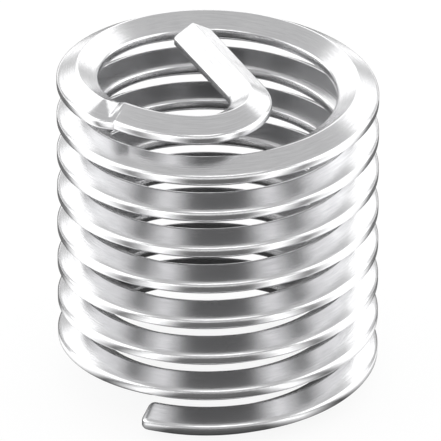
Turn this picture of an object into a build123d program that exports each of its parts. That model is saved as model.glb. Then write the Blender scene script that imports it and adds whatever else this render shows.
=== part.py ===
"""Wire thread insert: rhombic wire wound into a right-hand coil, with a driving tang across the bore.

The coil stands on its cut end. Its axis is Z, its lowest ridge is at Z = 0 and its tang is on top.
"""

from build123d import *

import os
from math import asin, cos, degrees, pi, radians, sin, tan

# Coil, free and not yet fitted in its hole (millimetres and degrees)
coil_diameter = 14.4
pitch = 1.80
coil_start = 240.0
coil_angle = 2766.0
coil_stretches = 47

# Wire section: a rhomb with a round outer and inner point, each cut to a flat crest
wire_depth = 1.86
waist_height = 1.474
flank_angle = 30.0
crest_radius = 0.31

# Driving tang: the last of the wire, set in from the coil and bent across the bore
lead_angle = 90.0
step_angle = 11.0
tang_step = 0.43
tang_azimuth = 295.0
tang_bend_radius = 2.15
tang_reach = 2.75

# Break-off notch, across the top ridge where the tang leaves the coil
notch_depth = 0.42
notch_angle = 100.0
notch_offset = 5.0

# Edges of the two cut ends
start_chamfer = 0.22
tip_chamfer = 0.12

# Radii and levels of the wire's centre line
half_depth = wire_depth / 2
coil_radius = coil_diameter / 2 - half_depth
bore_radius = coil_radius - half_depth
tang_radius = coil_radius - tang_step
ridge_level = waist_height / 2
slope = pitch / (2 * pi * coil_radius)
coil_end = coil_start + coil_angle
coil_top = ridge_level + pitch * coil_angle / 360


def on_circle(radius, azimuth, level=0.0):
    """A point at this radius and azimuth round the coil's axis."""
    return Vector(radius * cos(radians(azimuth)), radius * sin(radians(azimuth)), level)


def helix_arc(radius, start, angle, level, centre=(0.0, 0.0)):
    """A stretch of helix that climbs at the wire's own slope, so that it runs smoothly into the next."""
    climb = radius * radians(angle) * slope
    arc = Helix(2 * pi * radius * slope, climb, radius, mode=Mode.PRIVATE)
    return arc.rotate(Axis.Z, start).moved(Location((*centre, level))).edge()


def rounded_rhomb():
    """Outline of the wire's section: flat flanks that meet in sharp ridges, and round outer and inner points."""
    round_angle = 90 - flank_angle
    centre = (ridge_level - crest_radius / cos(radians(flank_angle))) / tan(radians(flank_angle))
    reach = centre + crest_radius * cos(radians(round_angle))
    rise = crest_radius * sin(radians(round_angle))
    for side, turn in ((1, 0), (-1, 180)):
        CenterArc((side * centre, 0), crest_radius, turn - round_angle, 2 * round_angle)
        Line((side * reach, rise), (0, ridge_level))
        Line((side * reach, -rise), (0, -ridge_level))


# One stretch of the coil, with its crests cut to the two thread diameters
stretch_angle = coil_angle / coil_stretches
stretch_line = helix_arc(coil_radius, coil_start, stretch_angle, ridge_level)
across_wire = Plane(stretch_line @ 0, x_dir=on_circle(1, coil_start), z_dir=on_circle(1, coil_start - 90))
with BuildPart() as stretch:
    with BuildSketch(across_wire):
        with BuildLine():
            rounded_rhomb()
        make_face()
    sweep(path=stretch_line, is_frenet=True)
    with BuildSketch(Plane.XY.offset(-waist_height)):
        Circle(coil_diameter / 2)
        Circle(bore_radius, mode=Mode.SUBTRACT)
    extrude(amount=4 * waist_height, mode=Mode.INTERSECT)

# The coil: the first stretch has the wire's cut end, and the rest are copies that climb the helix
with BuildPart() as coil:
    add(stretch.part)
    cut_end = coil.faces().filter_by(GeomType.PLANE).sort_by_distance(stretch_line @ 0)[0]
    chamfer(cut_end.edges(), start_chamfer)
    climb = pitch * stretch_angle / 360
    with Locations(*[Location((0, 0, climb * i), (0, 0, stretch_angle * i)) for i in range(1, coil_stretches)]):
        add(stretch.part, clean=False)

# The tang's path: a last of the coil, the step inward, the tang's own turn, the bend and the bar
turn_start = coil_end + lead_angle + step_angle
turn_level = coil_top + slope * radians(lead_angle) * coil_radius
turn_level += slope * radians(step_angle) * (coil_radius + tang_radius) / 2
bend_offset = tang_radius - tang_bend_radius
bend_start = tang_azimuth - degrees(asin(tang_bend_radius / bend_offset))
turn_angle = (bend_start - turn_start) % 360
bend_angle = (tang_azimuth + 90 - bend_start) % 360
bend_level = turn_level + slope * radians(turn_angle) * tang_radius
bend_centre = on_circle(bend_offset, bend_start)

lead = helix_arc(coil_radius, coil_end, lead_angle, coil_top)
turn = helix_arc(tang_radius, turn_start, turn_angle, turn_level)
step = Spline(lead @ 1, turn @ 0, tangents=(lead % 1, turn % 0), mode=Mode.PRIVATE).edge()
bend = helix_arc(tang_bend_radius, bend_start, bend_angle, bend_level, (bend_centre.X, bend_centre.Y))
bar_end = on_circle(tang_reach, tang_azimuth + 180)
bar_run = (bar_end - Vector((bend @ 1).X, (bend @ 1).Y)).length
bar_end = bar_end + Vector(0, 0, (bend @ 1).Z + slope * bar_run)
bar = Edge.make_line(bend @ 1, bar_end)
tang_line = Wire([lead, step, turn, bend, bar])

with BuildPart() as tang:
    joint = coil.faces().filter_by(GeomType.PLANE).sort_by_distance(lead @ 0)[0]
    sweep(joint, path=tang_line, binormal=tang_line.moved(Location((0, 0, wire_depth))), clean=False)
    tip = tang.faces().filter_by(GeomType.PLANE).sort_by_distance(bar_end)[0]
    chamfer(tip.edges(), tip_chamfer)

# The finished wire, with the notch cut across the ridge on top of the step
notch_azimuth = coil_end + lead_angle + notch_offset
notch_centre = on_circle(coil_radius, notch_azimuth, coil_top + slope * radians(lead_angle + notch_offset) * coil_radius)
notch_plane = Plane(notch_centre, x_dir=on_circle(1, notch_azimuth + 90), z_dir=on_circle(1, notch_azimuth))
notch_floor = ridge_level - notch_depth
notch_half = wire_depth * tan(radians(notch_angle / 2))
with BuildPart() as insert_wire:
    add(coil.part, clean=False)
    add(tang.part, clean=False)
    with BuildSketch(notch_plane):
        with BuildLine():
            Polyline(
                (0, notch_floor),
                (notch_half, notch_floor + wire_depth),
                (-notch_half, notch_floor + wire_depth),
                close=True,
            )
        make_face()
    extrude(amount=wire_depth, both=True, mode=Mode.SUBTRACT, clean=False)

insert_wire.part.label = "insert_wire"

os.makedirs("parts", exist_ok=True)
export_step(insert_wire.part, "parts/insert_wire.step")
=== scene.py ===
"""Scene of a wire thread insert: the finished wire, its bright drawn finish, a pale floor and soft light."""

import logging
from dataclasses import dataclass, field
from enum import Enum

import bpy
import numpy as np
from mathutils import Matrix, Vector

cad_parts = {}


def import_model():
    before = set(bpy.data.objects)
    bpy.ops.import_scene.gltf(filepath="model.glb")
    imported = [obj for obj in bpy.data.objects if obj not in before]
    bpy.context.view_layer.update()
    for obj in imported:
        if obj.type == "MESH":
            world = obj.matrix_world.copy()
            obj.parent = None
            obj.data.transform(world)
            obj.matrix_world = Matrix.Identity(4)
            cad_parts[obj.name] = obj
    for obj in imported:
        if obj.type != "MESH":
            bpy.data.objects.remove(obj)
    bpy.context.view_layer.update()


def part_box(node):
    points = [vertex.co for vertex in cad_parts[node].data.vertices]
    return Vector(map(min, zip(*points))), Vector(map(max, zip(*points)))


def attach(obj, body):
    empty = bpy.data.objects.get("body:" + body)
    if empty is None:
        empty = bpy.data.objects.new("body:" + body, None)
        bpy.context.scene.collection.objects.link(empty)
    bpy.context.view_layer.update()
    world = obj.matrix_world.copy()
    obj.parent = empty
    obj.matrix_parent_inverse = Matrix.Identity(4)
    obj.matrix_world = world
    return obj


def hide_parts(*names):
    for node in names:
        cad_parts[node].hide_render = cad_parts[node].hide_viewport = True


LOG = logging.getLogger("thread_insert")
MM = 0.001
TINY = 1e-9
NODE = "insert_wire"


class Finish(Enum):
    """The finishes that the scene's surfaces can have."""

    DRAWN_STEEL = "drawn_steel"
    STUDIO_FLOOR = "studio_floor"


# --------------------------------------------------------------------------- shader nodes


class Socket:
    """One output of a material's node tree, with arithmetic that adds Math nodes."""

    def __init__(self, maker: "NodeMaker", link: bpy.types.NodeSocket) -> None:
        """Keep the tree's maker and the socket.

        Args:
            maker: adds the nodes of this socket's tree.
            link: the output that this stands for.
        """
        self.maker = maker
        self.link = link

    def _math(self, operation: str, *values: "Socket | float") -> "Socket":
        """Add a Math node.

        Args:
            operation: the Math node's operation.
            values: its inputs, sockets or plain numbers.

        Returns:
            The node's value.
        """
        return self.maker.node("ShaderNodeMath", {"operation": operation}, dict(enumerate(values)))

    def __add__(self, other: "Socket | float") -> "Socket":
        """Add another value.

        Args:
            other: a socket or a number.

        Returns:
            The sum.
        """
        return self._math("ADD", self, other)

    __radd__ = __add__

    def __mul__(self, other: "Socket | float") -> "Socket":
        """Multiply by another value.

        Args:
            other: a socket or a number.

        Returns:
            The product.
        """
        return self._math("MULTIPLY", self, other)

    __rmul__ = __mul__

    def __sub__(self, other: "Socket | float") -> "Socket":
        """Take another value away.

        Args:
            other: a socket or a number.

        Returns:
            The difference.
        """
        return self._math("SUBTRACT", self, other)

    def __rsub__(self, other: float) -> "Socket":
        """Take this value away from a number.

        Args:
            other: the number.

        Returns:
            The difference.
        """
        return self._math("SUBTRACT", other, self)

    def __truediv__(self, other: "Socket | float") -> "Socket":
        """Divide by another value.

        Args:
            other: a socket or a number.

        Returns:
            The quotient.
        """
        return self._math("DIVIDE", self, other)

    def size(self) -> "Socket":
        """Drop the value's sign.

        Returns:
            Its size.
        """
        return self._math("ABSOLUTE", self)

    def root(self) -> "Socket":
        """Take the square root.

        Returns:
            The root.
        """
        return self._math("SQRT", self)

    def clamp(self, low: float, high: float) -> "Socket":
        """Hold the value between two limits.

        Args:
            low: the lower limit.
            high: the upper limit.

        Returns:
            The held value.
        """
        return self._math("MINIMUM", self._math("MAXIMUM", self, low), high)


class NodeMaker:
    """Adds nodes to one material's tree."""

    def __init__(self, name: str) -> None:
        """Make an empty node material.

        Args:
            name: the material's name.
        """
        self.material = bpy.data.materials.new(name)
        self.material.use_nodes = True
        self.tree = self.material.node_tree
        self.tree.nodes.clear()

    def node(self, kind: str, settings: dict, inputs: dict, output: int | str = 0) -> Socket:
        """Add any node: its settings first, then the values or links of its sockets.

        Args:
            kind: the node's type.
            settings: attributes of the node, set before its sockets.
            inputs: socket name or number to value or Socket.
            output: which output to return.

        Returns:
            The chosen output.
        """
        made = self.tree.nodes.new(kind)
        for name, value in settings.items():
            setattr(made, name, value)
        for key, value in inputs.items():
            if isinstance(value, Socket):
                self.tree.links.new(value.link, made.inputs[key])
            else:
                made.inputs[key].default_value = value
        return Socket(self, made.outputs[output] if made.outputs else None)

    def mix_colour(self, share: Socket | float, low: tuple, high: tuple) -> Socket:
        """Blend two colours.

        Args:
            share: 0 for low, 1 for high.
            low: RGBA.
            high: RGBA.

        Returns:
            The blended colour.
        """
        return self.node("ShaderNodeMix", {"data_type": "RGBA"}, {0: share, 6: low, 7: high}, 2)


# --------------------------------------------------------------------------- finishes


@dataclass(frozen=True)
class DrawnSteel:
    """Bright stainless wire: fine drawing lines along its length, and a slightly uneven polish."""

    bright: tuple = (0.74, 0.74, 0.745, 1.0)
    dull: tuple = (0.50, 0.50, 0.51, 1.0)
    roughness: float = 0.20
    roughness_spread: float = 0.25
    line_scale: float = 16.0
    line_stretch: float = 0.05
    line_share: float = 0.7
    patch_scale: float = 0.9
    line_depth: float = 0.0035 * MM

    def material(self) -> bpy.types.Material:
        """Build the material.

        Returns:
            A metal whose streaks follow the wire's own UV map: along it in U and round it in V.
        """
        maker = NodeMaker(Finish.DRAWN_STEEL.value)
        uv = maker.node("ShaderNodeUVMap", {"uv_map": "wire"}, {})
        stretched = maker.node(
            "ShaderNodeMapping", {}, {"Vector": uv, "Scale": (self.line_stretch, 1.0, 1.0)}
        )
        lines = maker.node(
            "ShaderNodeTexNoise",
            {"noise_dimensions": "2D"},
            {"Vector": stretched, "Scale": self.line_scale, "Detail": 4.0, "Roughness": 0.65},
        )
        patches = maker.node(
            "ShaderNodeTexNoise",
            {"noise_dimensions": "2D"},
            {"Vector": uv, "Scale": self.patch_scale, "Detail": 2.0},
        )
        wear = (lines * self.line_share + patches * (1.0 - self.line_share)).clamp(0.0, 1.0)
        bump = maker.node(
            "ShaderNodeBump", {}, {"Strength": 1.0, "Distance": self.line_depth, "Height": lines}
        )
        shader = maker.node(
            "ShaderNodeBsdfPrincipled",
            {},
            {
                "Base Color": maker.mix_colour(wear, self.dull, self.bright),
                "Metallic": 1.0,
                "Roughness": (wear - 0.5) * (-self.roughness_spread) + self.roughness,
                "Normal": bump,
            },
        )
        maker.node("ShaderNodeOutputMaterial", {}, {"Surface": shader})
        return maker.material


@dataclass(frozen=True)
class StudioFloor:
    """A white sweep: plain white to the camera. To the bright wire's mirror rays it glows with painted
    light, bright at both sides, with a painted shadow at the coil's foot.
    """

    colour: tuple = (0.93, 0.93, 0.93, 1.0)
    glow: float = 0.9
    # Painted light in the floor's glow for mirror rays: its strength, levels and bands.
    strength: float = 3.0
    dim: float = 0.16
    flank_gain: float = 1.9
    flank_middle: float = 0.60
    flank_fall: float = 4.0
    front_fade: float = 150.0
    side_gain: float = 1.5
    side_start: float = 0.86
    side_rise: float = 9.0
    far_gain: float = 1.5
    far: float = 0.06
    far_rise: float = 20.0
    # Painted shadow round the coil's foot: its radius, how fast it clears, and its level.
    foot: float = 0.0065
    foot_rise: float = 300.0
    painted_foot_shade_level: float = 0.06

    def painted_reflection_light(self, maker: NodeMaker) -> Socket:
        """The floor's painted light, which only the wire's mirror rays see: the floor glows, standing in for
        lamps on it.

        With s = |x| / distance from the axis, it is dim in front and behind. In front it rises to a band
        around the middle s, and it is bright at both sides and far away. Near the coil's foot it is dark,
        a painted shadow of the coil.

        Args:
            maker: the material's maker.

        Returns:
            The light as a share of the strength.
        """
        place = maker.node("ShaderNodeTexCoord", {}, {}, "Object")
        split = maker.tree.nodes.new("ShaderNodeSeparateXYZ")
        maker.tree.links.new(place.link, split.inputs[0])
        x, y = Socket(maker, split.outputs[0]), Socket(maker, split.outputs[1])
        distance = (x * x + y * y + TINY).root()
        side = x.size() / distance
        front = (y * -self.front_fade).clamp(0.0, 1.0)
        flank = (1.0 - (side - self.flank_middle).size() * self.flank_fall).clamp(0.0, 1.0) * front
        edge = ((side - self.side_start) * self.side_rise).clamp(0.0, 1.0)
        away = ((distance - self.far) * self.far_rise).clamp(0.0, 1.0)
        # Painted shadow: near the coil's foot the glow falls to the foot's shade level.
        clear_of_painted_shade = ((distance - self.foot) * self.foot_rise).clamp(0.0, 1.0)
        light = flank * self.flank_gain + edge * self.side_gain + away * self.far_gain + self.dim
        return (light * clear_of_painted_shade + self.painted_foot_shade_level) * (1.0 / self.strength)

    def material(self) -> bpy.types.Material:
        """Build the material.

        Returns:
            Matt white that the camera sees as plain white, with a trace of the shadow on it.
        """
        maker = NodeMaker(Finish.STUDIO_FLOOR.value)
        path = maker.tree.nodes.new("ShaderNodeLightPath")
        seen = Socket(maker, path.outputs["Is Camera Ray"])
        mirrored = Socket(maker, path.outputs["Is Glossy Ray"])
        matt = maker.node("ShaderNodeBsdfDiffuse", {}, {"Color": self.colour})
        # Painted glow: what the wire's mirror rays see of the floor, in place of lamplight on it.
        lit = maker.node(
            "ShaderNodeEmission", {}, {"Color": self.painted_reflection_light(maker), "Strength": self.strength}
        )
        white = maker.node("ShaderNodeEmission", {}, {"Color": (1.0, 1.0, 1.0, 1.0), "Strength": 1.0})
        unseen = maker.node("ShaderNodeMixShader", {}, {0: mirrored, 1: matt, 2: lit})
        shader = maker.node("ShaderNodeMixShader", {}, {0: seen * self.glow, 1: unseen, 2: white})
        maker.node("ShaderNodeOutputMaterial", {}, {"Surface": shader})
        return maker.material


# --------------------------------------------------------------------------- the wire


@dataclass
class WireSection:
    """The wire's rhombic section: u is outward from the coil's axis, v is up. Sizes in millimetres."""

    depth: float = 1.86
    waist_height: float = 1.474
    flank_angle: float = 30.0
    crest_radius: float = 0.31
    ridge_radius: float = 0.10
    arc_points: int = 4
    edge_share: float = 0.07

    def crest_centre(self) -> float:
        """Where the centre of the crest's circle lies, so that the circle touches both flanks.

        Returns:
            Its u in millimetres.
        """
        slope = np.radians(self.flank_angle)
        return (self.waist_height / 2 - self.crest_radius / np.cos(slope)) / np.tan(slope)

    def quarter(self) -> np.ndarray:
        """Points from the middle of the outer crest up to the top ridge.

        The crest is a short flat, then its circle from the flat's edge to the flank's direction, then
        the straight flank, then the ridge's small circle from the flank's direction to straight up.

        Returns:
            An array of (u, v) rows, with the first at v = 0 and the last at u = 0.
        """
        slope = np.radians(self.flank_angle)
        turn = np.pi / 2 - slope
        centre = self.crest_centre()
        edge = np.arccos((self.depth / 2 - centre) / self.crest_radius)
        angles = np.linspace(edge, turn, self.arc_points)
        crest = np.stack(
            [centre + self.crest_radius * np.cos(angles), self.crest_radius * np.sin(angles)], axis=1
        )
        ridge_centre = self.waist_height / 2 - self.ridge_radius / np.cos(slope)
        angles = np.linspace(turn, np.pi / 2, self.arc_points)
        ridge = np.stack(
            [self.ridge_radius * np.cos(angles), ridge_centre + self.ridge_radius * np.sin(angles)], axis=1
        )
        shares = np.array([self.edge_share, 0.5, 1 - self.edge_share])[:, None]
        flank = crest[-1] + shares * (ridge[0] - crest[-1])
        middle = np.array([[self.depth / 2, 0.0]])
        return np.concatenate([middle, crest, flank, ridge])

    def outline(self) -> np.ndarray:
        """The whole closed outline, anticlockwise from the outer crest's middle.

        The quarter is mirrored about u = 0 and then about v = 0, without repeating the shared points.

        Returns:
            An array of (u, v) rows in millimetres.
        """
        quarter = self.quarter()
        upper = np.concatenate([quarter, quarter[-2::-1] * (-1.0, 1.0)])
        lower = upper[-2:0:-1] * (1.0, -1.0)
        return np.concatenate([upper, lower])


@dataclass
class WirePath:
    """The wire's centre line: the coil, the step inward, the tang's turn, its bend and the bar.

    Sizes in millimetres and degrees. Every stretch climbs at the same slope.
    """

    coil_diameter: float = 14.4
    wire_depth: float = 1.86
    pitch: float = 1.80
    base_level: float = 0.737
    coil_start: float = 240.0
    coil_angle: float = 2856.0
    step_angle: float = 11.0
    tang_step: float = 0.43
    tang_azimuth: float = 295.0
    tang_bend_radius: float = 2.15
    tang_reach: float = 2.75
    spacing: float = 0.18
    fine_spacing: float = 0.035
    fine_span: float = 1.6

    @property
    def coil_radius(self) -> float:
        """The coil's centre line.

        Returns:
            Its radius in millimetres.
        """
        return self.coil_diameter / 2 - self.wire_depth / 2

    @property
    def slope(self) -> float:
        """How steeply the wire climbs.

        Returns:
            The rise for each millimetre of the line's length in plan.
        """
        return self.pitch / (2 * np.pi * self.coil_radius)

    def arc(self, radius: float, start: float, angle: float, centre: np.ndarray, step: float) -> np.ndarray:
        """Points along a circle in plan, without its first.

        Args:
            radius: of the circle.
            start: azimuth of its start in degrees.
            angle: how far it runs, in degrees.
            centre: of the circle.
            step: the length between points.

        Returns:
            An array of (x, y) rows.
        """
        count = max(int(np.ceil(radius * np.radians(angle) / step)), 3)
        azimuth = np.radians(start + angle * np.arange(1, count + 1) / count)
        return centre + radius * np.stack([np.cos(azimuth), np.sin(azimuth)], axis=1)

    def inward_step(
        self, start: np.ndarray, way_in: np.ndarray, end: np.ndarray, way_out: np.ndarray
    ) -> np.ndarray:
        """A Hermite cubic between two points with given directions, as long in pull as its chord.

        Args:
            start: first point.
            way_in: unit direction there.
            end: last point.
            way_out: unit direction there.

        Returns:
            Points along it, without its first.
        """
        chord = np.linalg.norm(end - start)
        count = max(int(np.ceil(chord / self.fine_spacing)), 6)
        t = (np.arange(1, count + 1) / count)[:, None]
        return (
            (2 * t**3 - 3 * t**2 + 1) * start
            + (t**3 - 2 * t**2 + t) * chord * way_in
            + (3 * t**2 - 2 * t**3) * end
            + (t**3 - t**2) * chord * way_out
        )

    def plan(self) -> tuple[np.ndarray, float]:
        """The line seen from above.

        Returns:
            The (x, y) points, and the length along them at which the step inward starts.
        """
        origin = np.zeros(2)
        radius, tang_radius = self.coil_radius, self.coil_radius - self.tang_step
        coil_end = self.coil_start + self.coil_angle
        fine_angle = np.degrees(self.fine_span / radius)
        first = self.ring_point(radius, self.coil_start)[None]
        coil = self.arc(radius, self.coil_start, self.coil_angle - fine_angle, origin, self.spacing)
        fine = self.arc(radius, coil_end - fine_angle, fine_angle, origin, self.fine_spacing)
        turn_start = coil_end + self.step_angle
        step = self.inward_step(
            fine[-1],
            self.ring_point(1.0, coil_end + 90),
            self.ring_point(tang_radius, turn_start),
            self.ring_point(1.0, turn_start + 90),
        )
        offset = tang_radius - self.tang_bend_radius
        bend_start = self.tang_azimuth - np.degrees(np.arcsin(self.tang_bend_radius / offset))
        turn = self.arc(tang_radius, turn_start, (bend_start - turn_start) % 360, origin, self.spacing / 2)
        bend = self.arc(
            self.tang_bend_radius,
            bend_start,
            (self.tang_azimuth + 90 - bend_start) % 360,
            self.ring_point(offset, bend_start),
            self.spacing / 2,
        )
        bar_end = self.ring_point(self.tang_reach, self.tang_azimuth + 180)
        count = int(np.ceil(np.linalg.norm(bar_end - bend[-1]) / (self.spacing / 2)))
        bar = bend[-1] + (bar_end - bend[-1]) * (np.arange(1, count + 1) / count)[:, None]
        line = np.concatenate([first, coil, fine, step, turn, bend, bar])
        step_length = radius * np.radians(self.coil_angle)
        return line, step_length

    @staticmethod
    def ring_point(radius: float, azimuth: float) -> np.ndarray:
        """A point in plan, given by its distance from the axis and its azimuth.

        Args:
            radius: the distance.
            azimuth: in degrees, from +X towards +Y.

        Returns:
            Its (x, y).
        """
        return radius * np.array([np.cos(np.radians(azimuth)), np.sin(np.radians(azimuth))])

    def line(self) -> tuple[np.ndarray, np.ndarray, np.ndarray, float]:
        """The centre line in space.

        The level is the base level plus the slope times the length so far in plan. The outward direction
        is the line's right-hand normal in plan.

        Returns:
            Points (x, y, z), outward directions (x, y, 0), lengths in plan, and the step's start length.
        """
        plan, step_length = self.plan()
        length = np.concatenate([[0.0], np.cumsum(np.linalg.norm(np.diff(plan, axis=0), axis=1))])
        level = self.base_level + self.slope * length
        along = np.gradient(plan, length, axis=0)
        along /= np.linalg.norm(along, axis=1)[:, None]
        outward = np.stack([along[:, 1], -along[:, 0], np.zeros(len(along))], axis=1)
        return np.column_stack([plan, level]), outward, length, step_length


@dataclass
class InsertWire:
    """The insert: one wire, with its section carried along its path, a notch and two cut ends."""

    section: WireSection = field(default_factory=WireSection)
    path: WirePath = field(default_factory=WirePath)
    notch_depth: float = 0.42
    notch_angle: float = 100.0
    notch_offset: float = 0.55
    start_round: float = 0.42
    tip_round: float = 0.14
    end_rings: int = 9

    def end_lengths(self, length: np.ndarray) -> np.ndarray:
        """Extra lengths close to both ends, so that their rounding has rings to bend on.

        The rings' distances from each end follow 1 - cos of an even angle, times the rounding's radius.

        Args:
            length: the path's lengths.

        Returns:
            The lengths with both ends' rings added, in order.
        """
        share = 1 - np.cos(np.linspace(0, np.pi / 2, self.end_rings))
        start = self.start_round * share
        tip = length[-1] - self.tip_round * share
        body = length[(length > self.start_round) & (length < length[-1] - self.tip_round)]
        return np.unique(np.concatenate([start, body, tip]).round(9))

    def inset(self, length: np.ndarray) -> np.ndarray:
        """How far the surface draws in near the cut ends: r - sqrt(r^2 - (r - s)^2) at s from an end.

        Args:
            length: lengths along the path.

        Returns:
            The inset at each.
        """
        total = np.zeros_like(length)
        for reach, radius in ((length, self.start_round), (length[-1] - length, self.tip_round)):
            short = np.clip(radius - reach, 0.0, radius)
            total += radius - np.sqrt(np.maximum(radius**2 - short**2, 0.0))
        return total

    def grid(self) -> tuple[np.ndarray, np.ndarray, np.ndarray]:
        """Rings of points along the wire.

        Each ring is the section about the path's point: x = centre + u * outward + v * up. The notch
        lowers each point's v to at most its floor plus the distance from its middle over tan of half its
        angle. Near a cut end the section shrinks about its centre by the inset over its half thickness.

        Returns:
            Points (rings, outline, 3) in millimetres, lengths along, and lengths round the section.
        """
        centre, outward, length, step_length = self.path.line()
        finer = self.end_lengths(length)
        centre = np.stack([np.interp(finer, length, centre[:, i]) for i in range(3)], axis=1)
        outward = np.stack([np.interp(finer, length, outward[:, i]) for i in range(3)], axis=1)
        outward /= np.linalg.norm(outward, axis=1)[:, None]
        outline = self.section.outline()
        half = self.section.waist_height / 2 * np.cos(np.radians(self.section.flank_angle))
        shrink = 1 - self.inset(finer) / half
        u = outline[None, :, 0] * shrink[:, None]
        v = outline[None, :, 1] * shrink[:, None]
        floor = self.section.waist_height / 2 - self.notch_depth
        away = np.abs(finer - step_length - self.notch_offset)
        v = np.minimum(v, (floor + away / np.tan(np.radians(self.notch_angle / 2)))[:, None])
        points = centre[:, None, :] + u[..., None] * outward[:, None, :]
        points[..., 2] += v
        closed = np.concatenate([outline, outline[:1]])
        around = np.concatenate([[0.0], np.cumsum(np.linalg.norm(np.diff(closed, axis=0), axis=1))])
        return points, finer, around

    def build(self) -> bpy.types.Object:
        """Make the wire's mesh, with a UV map in millimetres along it and round it.

        Returns:
            The object, in metres, in place.
        """
        points, along, around = self.grid()
        rings, count = points.shape[:2]
        ring = np.arange(rings - 1)[:, None]
        spot = np.arange(count)[None, :]
        ahead = (spot + 1) % count
        here, beyond = ring * count, (ring + 1) * count
        quads = np.stack([here + spot, beyond + spot, beyond + ahead, here + ahead], axis=-1)
        quads = quads.reshape(-1, 4)
        caps = np.stack([points[0].mean(axis=0), points[-1].mean(axis=0)])
        vertices = np.concatenate([points.reshape(-1, 3), caps]) * MM
        first, last = rings * count, rings * count + 1
        spots, aheads = spot.ravel(), ahead.ravel()
        start_cap = np.stack([np.full(count, first), spots, aheads], axis=1)
        end = (rings - 1) * count
        tip_cap = np.stack([np.full(count, last), end + aheads, end + spots], axis=1)
        mesh = bpy.data.meshes.new("wire_of_insert")
        mesh.from_pydata(vertices.tolist(), [], quads.tolist() + start_cap.tolist() + tip_cap.tolist())
        self.lay_uv(mesh, along, around, count)
        mesh.shade_smooth()
        mesh.validate()
        wire = bpy.data.objects.new("wire_of_insert", mesh)
        bpy.context.collection.objects.link(wire)
        return wire

    @staticmethod
    def lay_uv(mesh: bpy.types.Mesh, along: np.ndarray, around: np.ndarray, count: int) -> None:
        """Write the UV map: U is the length along the wire and V the length round its section.

        Args:
            mesh: the wire's mesh, whose quads come first, ring by ring.
            along: length at each ring.
            around: length round the section, with the full turn last.
            count: points in a ring.
        """
        rings = len(along)
        u0 = np.repeat(along[:-1], count)
        u1 = np.repeat(along[1:], count)
        v0 = np.tile(around[:-1], rings - 1)
        v1 = np.tile(around[1:], rings - 1)
        sides = np.stack([u0, v0, u1, v0, u1, v1, u0, v1], axis=1).reshape(-1, 2)
        ends = np.tile([[0.0, 0.0], [0.1, 0.0], [0.1, 0.1]], (2 * count, 1))
        layer = mesh.uv_layers.new(name="wire")
        layer.data.foreach_set("uv", np.concatenate([sides, ends]).astype(np.float32).ravel())

    def dress(self, wire: bpy.types.Object, steel: bpy.types.Material) -> None:
        """Give the wire its finish and its place in the part.

        Args:
            wire: the wire's object.
            steel: its material.
        """
        wire.data.materials.append(steel)
        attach(wire, "root")
        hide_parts(NODE)


# --------------------------------------------------------------------------- the studio


@dataclass
class SoftLight:
    """One area light, aimed at the object. Azimuth 0 is towards +X and 90 towards +Y, sizes in metres.

    Its power is its brightness times pi times its area.
    """

    name: str
    azimuth: float
    elevation: float
    distance: float
    width: float
    height: float
    brightness: float

    def place(self, target: Vector) -> bpy.types.Object:
        """Make the light.

        Args:
            target: the point it faces.

        Returns:
            The light's object.
        """
        azimuth, elevation = np.radians(self.azimuth), np.radians(self.elevation)
        away = Vector(
            (np.cos(elevation) * np.cos(azimuth), np.cos(elevation) * np.sin(azimuth), np.sin(elevation))
        )
        data = bpy.data.lights.new(self.name, "AREA")
        data.shape = "RECTANGLE"
        data.size = self.width
        data.size_y = self.height
        data.energy = self.brightness * np.pi * self.width * self.height
        light = bpy.data.objects.new(self.name, data)
        light.location = target + away * self.distance
        light.rotation_euler = (-away).to_track_quat("-Z", "Y").to_euler()
        bpy.context.collection.objects.link(light)
        return light


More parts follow.
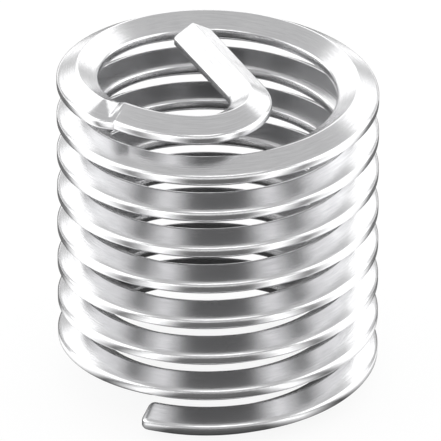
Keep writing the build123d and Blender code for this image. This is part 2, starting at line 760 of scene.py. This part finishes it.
@dataclass
class Studio:
    """A white sweep, soft lights at both sides and a long lens."""

    floor_size: float = 2.0
    floor_sides: int = 64
    world_strength: float = 0.75
    lens: float = 1000.0
    sensor: float = 36.0
    elevation: float = 27.8
    framed_width: float = 19.77 * MM
    aim_right: float = 0.118 * MM
    aim_up: float = -0.46 * MM
    lights: tuple = (
        SoftLight("left_box", 180.0, 22.0, 0.12, 0.16, 0.09, 1.5),
        SoftLight("right_box", 0.0, 22.0, 0.12, 0.16, 0.09, 1.5),
        SoftLight("back_box", 90.0, 35.0, 0.14, 0.24, 0.10, 1.1),
        SoftLight("front_box", -90.0, 52.0, 0.14, 0.10, 0.03, 2.0),
    )

    def floor(self) -> bpy.types.Object:
        """The floor: a flat disc at z = 0, with its rim at (size cos a, size sin a) for even angles a.

        Returns:
            The floor's object.
        """
        angles = np.linspace(0, 2 * np.pi, self.floor_sides, endpoint=False)
        rim = np.stack([np.cos(angles), np.sin(angles), np.zeros_like(angles)], axis=1) * self.floor_size
        mesh = bpy.data.meshes.new("floor")
        mesh.from_pydata(rim.tolist(), [], [list(range(self.floor_sides))])
        mesh.materials.append(StudioFloor().material())
        disc = bpy.data.objects.new("floor", mesh)
        bpy.context.collection.objects.link(disc)
        return disc

    def world(self) -> None:
        """Even light from all round, and plain white where the camera sees past the floor."""
        world = bpy.data.worlds.new("studio")
        world.use_nodes = True
        nodes, links = world.node_tree.nodes, world.node_tree.links
        nodes.clear()
        path = nodes.new("ShaderNodeLightPath")
        around = nodes.new("ShaderNodeBackground")
        around.inputs["Strength"].default_value = self.world_strength
        behind = nodes.new("ShaderNodeBackground")
        behind.inputs["Color"].default_value = (1.0, 1.0, 1.0, 1.0)
        mix = nodes.new("ShaderNodeMixShader")
        out = nodes.new("ShaderNodeOutputWorld")
        around.inputs["Color"].default_value = (1.0, 1.0, 1.0, 1.0)
        links.new(path.outputs["Is Camera Ray"], mix.inputs[0])
        links.new(around.outputs[0], mix.inputs[1])
        links.new(behind.outputs[0], mix.inputs[2])
        links.new(mix.outputs[0], out.inputs[0])
        bpy.context.scene.world = world

    def camera(self, middle: Vector) -> bpy.types.Object:
        """A long lens in front of the insert, looking down at it.

        Args:
            middle: the middle of the part.

        Returns:
            The camera.
        """
        tilt = np.radians(self.elevation)
        back = Vector((0.0, -np.cos(tilt), np.sin(tilt)))
        up = Vector((0.0, np.sin(tilt), np.cos(tilt)))
        target = middle + Vector((self.aim_right, 0.0, 0.0)) + up * self.aim_up
        data = bpy.data.cameras.new("camera")
        data.lens = self.lens
        data.sensor_width = self.sensor
        distance = self.lens / self.sensor * self.framed_width
        data.clip_start = distance / 100
        data.clip_end = distance * 20
        camera = bpy.data.objects.new("camera", data)
        camera.location = target + back * distance
        camera.rotation_euler = (-back).to_track_quat("-Z", "Y").to_euler()
        bpy.context.collection.objects.link(camera)
        bpy.context.scene.camera = camera
        return camera

    def set_up(self, middle: Vector) -> None:
        """Build the whole studio round the part.

        Args:
            middle: the middle of the part.
        """
        self.floor()
        self.world()
        for light in self.lights:
            light.place(middle)
        self.camera(middle)
        bpy.context.scene.view_settings.view_transform = "Standard"


def main() -> None:
    """Build the wire and the studio round the middle of the part, and log the wire's count of faces."""
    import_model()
    low, high = (Vector(corner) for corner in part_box(NODE))
    insert = InsertWire()
    wire = insert.build()
    insert.dress(wire, DrawnSteel().material())
    LOG.info("%s: %d faces", wire.name, len(wire.data.polygons))
    Studio().set_up((low + high) / 2)
    LOG.info("studio ready")


if __name__ == "__main__":
    logging.basicConfig(level=logging.INFO)
    main()
